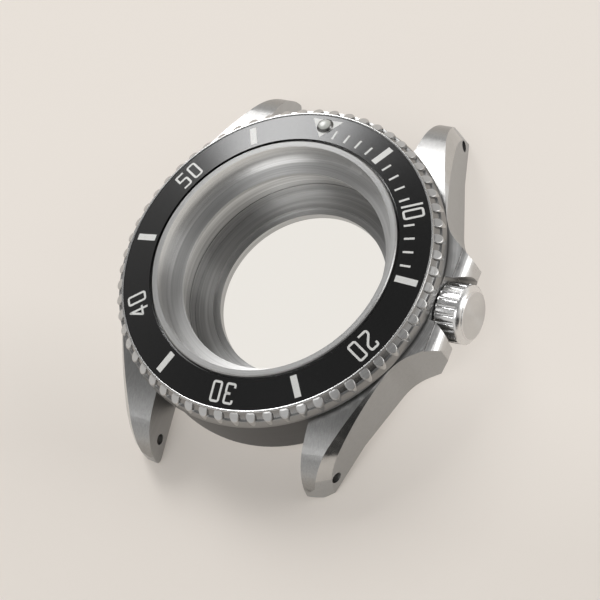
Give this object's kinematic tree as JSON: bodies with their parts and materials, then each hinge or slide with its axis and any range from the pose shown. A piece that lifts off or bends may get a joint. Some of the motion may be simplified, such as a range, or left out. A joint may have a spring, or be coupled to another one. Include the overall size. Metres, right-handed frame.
{
  "type": "empty watch case",
  "caption": "Empty steel diver's watch case with crown guards, a turning bezel, a sloping minute insert, a screw-down crown and an unglazed screwed back",
  "frame": {"origin": "centre of the back's clear opening, in the plane of the back's flat underside, on the bore axis", "axes": "+Z along the bore towards the dial side, +X towards the crown at three o'clock, +Y towards twelve o'clock"},
  "size_m": [0.0439, 0.048, 0.0104],
  "materials": {
    "case_steel": "brushed tops, satin flanks, polished bevels and guard tops",
    "rehaut_steel": "satin turned cone",
    "back_steel": "satin turned",
    "bezel_steel": "polished rim and teeth, satin valleys",
    "crown_steel": "satin end, polished flutes",
    "tube_steel": "turned",
    "spring_steel": "spring steel",
    "seal_rubber": "matt black",
    "insert_black": "glossy black with pale grey marks",
    "bond_tape": "thin bonding ring",
    "lume": "pale luminous filling"
  },
  "bodies": {
    "case": {"case_middle": "case_steel", "rehaut_ring": "rehaut_steel", "back_ring": "back_steel", "back_gasket": "seal_rubber", "bezel_wire": "spring_steel", "bezel_gasket": "seal_rubber", "click_spring": "spring_steel", "click_pins": "spring_steel", "crown_tube": "tube_steel", "tube_seals": "seal_rubber"},
    "bezel": {"bezel_ring": "bezel_steel", "bezel_insert": "insert_black", "insert_adhesive": "bond_tape", "pip_cup": "bezel_steel", "pip_lume": "lume"},
    "stem": {"crown_post": "tube_steel", "crown_spring": "spring_steel"},
    "crown": {"crown_head": "crown_steel", "crown_gasket": "seal_rubber", "crown_retainer": "tube_steel"}
  },
  "joints": [
    {"name": "bezel_turn", "type": "hinge", "parent": "case", "child": "bezel", "pos_m": [0, 0, 0.009], "axis": [0, 0, 1], "continuous": true, "deforming": ["click_spring"]},
    {"name": "crown_turn", "type": "hinge", "parent": "case", "child": "stem", "pos_m": [0.02, 0, 0.0041], "axis": [1, 0, 0], "range_deg": [0, 1261]},
    {"name": "crown_rise", "type": "slide", "parent": "stem", "child": "crown", "axis": [1, 0, 0], "range_m": [0, 0.00122], "deforming": ["crown_spring"]}
  ],
  "couplings": [
    {"joint": "crown_turn", "follows": "crown_rise", "rad_per_m": 17952}
  ]
}
